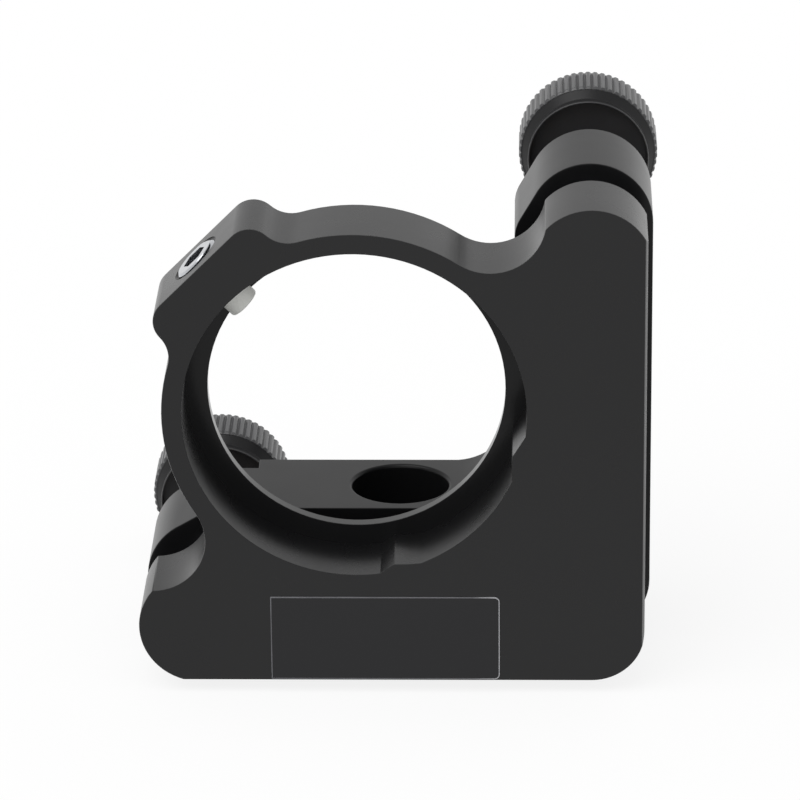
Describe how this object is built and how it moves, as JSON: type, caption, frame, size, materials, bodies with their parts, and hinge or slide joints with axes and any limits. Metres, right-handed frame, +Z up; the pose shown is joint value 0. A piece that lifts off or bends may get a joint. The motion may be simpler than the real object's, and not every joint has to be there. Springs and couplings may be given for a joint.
{
  "type": "kinematic mirror mount",
  "caption": "Kinematic mount for a round mirror: a front plate that tips and turns about a corner ball, pushed by fine adjusters in an L-shaped back plate with a post hole.",
  "frame": {"origin": "where the axis of the post hole meets the underside of the back plate", "axes": "+Z up along the post hole, +X to the right seen from the front, +Y from the front face towards the knobs"},
  "size_m": [0.042, 0.0312, 0.0416],
  "materials": {
    "anodised_front": "black anodised, fine satin",
    "anodised_back": "black anodised, fine satin",
    "anodised_knob": "turned and straight knurled, dark anodised",
    "label_film": "thin dark film, blank, with a pale printed border",
    "hardened_steel": "ground, hardened",
    "ball_steel": "polished bearing ball",
    "pin_steel": "ground dowel",
    "spring_steel": "bright drawn music wire",
    "screw_steel": "stainless, machined",
    "bushing_brass": "turned brass",
    "nylon": "natural nylon, slightly translucent"
  },
  "bodies": {
    "base": {"back_plate": "anodised_back", "back_pivot_seat": "hardened_steel", "upper_bushing": "bushing_brass", "lower_bushing": "bushing_brass", "upper_back_pin": "pin_steel", "lower_back_pin": "pin_steel", "upper_spring": "spring_steel", "lower_spring": "spring_steel"},
    "swivel": {"pivot_ball": "ball_steel"},
    "front": {"front_plate": "anodised_front", "label": "label_film", "upper_seat": "hardened_steel", "lower_seat": "hardened_steel", "front_pivot_seat": "hardened_steel", "upper_front_pin": "pin_steel", "lower_front_pin": "pin_steel"},
    "upper_tip": {"upper_ball": "ball_steel"},
    "upper_adjuster": {"upper_screw": "screw_steel", "upper_knob": "anodised_knob"},
    "lower_tip": {"lower_ball": "ball_steel"},
    "lower_adjuster": {"lower_screw": "screw_steel", "lower_knob": "anodised_knob"},
    "optic_point": {"optic_tip": "nylon"},
    "optic_clamp": {"optic_screw": "screw_steel"}
  },
  "joints": [
    {"name": "yaw", "type": "hinge", "parent": "base", "child": "swivel", "pos_m": [0.01525, -0.0066, 0.00495], "axis": [0, 0, 1], "range_deg": [-3.37, 3.37], "deforming": ["lower_spring"]},
    {"name": "pitch", "type": "hinge", "parent": "swivel", "child": "front", "pos_m": [0.01525, -0.0066, 0.00495], "axis": [1, 0, 0], "range_deg": [-3.41, 3.41], "deforming": ["upper_spring"]},
    {"name": "upper_travel", "type": "slide", "parent": "base", "child": "upper_tip", "axis": [0, 1, 0], "range_m": [-0.0018, 0.0018]},
    {"name": "upper_turn", "type": "hinge", "parent": "upper_tip", "child": "upper_adjuster", "pos_m": [0.01525, 0, 0.0353], "axis": [0, 1, 0], "range_deg": [-2606.4, 2606.4]},
    {"name": "lower_travel", "type": "slide", "parent": "base", "child": "lower_tip", "axis": [0, 1, 0], "range_m": [-0.0018, 0.0018]},
    {"name": "lower_turn", "type": "hinge", "parent": "lower_tip", "child": "lower_adjuster", "pos_m": [-0.01545, 0, 0.00495], "axis": [0, 1, 0], "range_deg": [-2606.4, 2606.4]},
    {"name": "optic_travel", "type": "slide", "parent": "front", "child": "optic_point", "axis": [-0.7071, 0, 0.7071], "range_m": [-0.0014, 0.0014]},
    {"name": "optic_turn", "type": "hinge", "parent": "optic_point", "child": "optic_clamp", "pos_m": [-0.00336, -0.0116, 0.02274], "axis": [-0.7071, 0, 0.7071], "range_deg": [-725, 725]}
  ],
  "couplings": [
    {"joint": "upper_turn", "follows": "upper_travel", "rad_per_m": 25133},
    {"joint": "pitch", "follows": "upper_travel", "rad_per_m": -32.949},
    {"joint": "lower_turn", "follows": "lower_travel", "rad_per_m": 25133},
    {"joint": "yaw", "follows": "lower_travel", "rad_per_m": -32.573},
    {"joint": "optic_turn", "follows": "optic_travel", "rad_per_m": 8976}
  ]
}
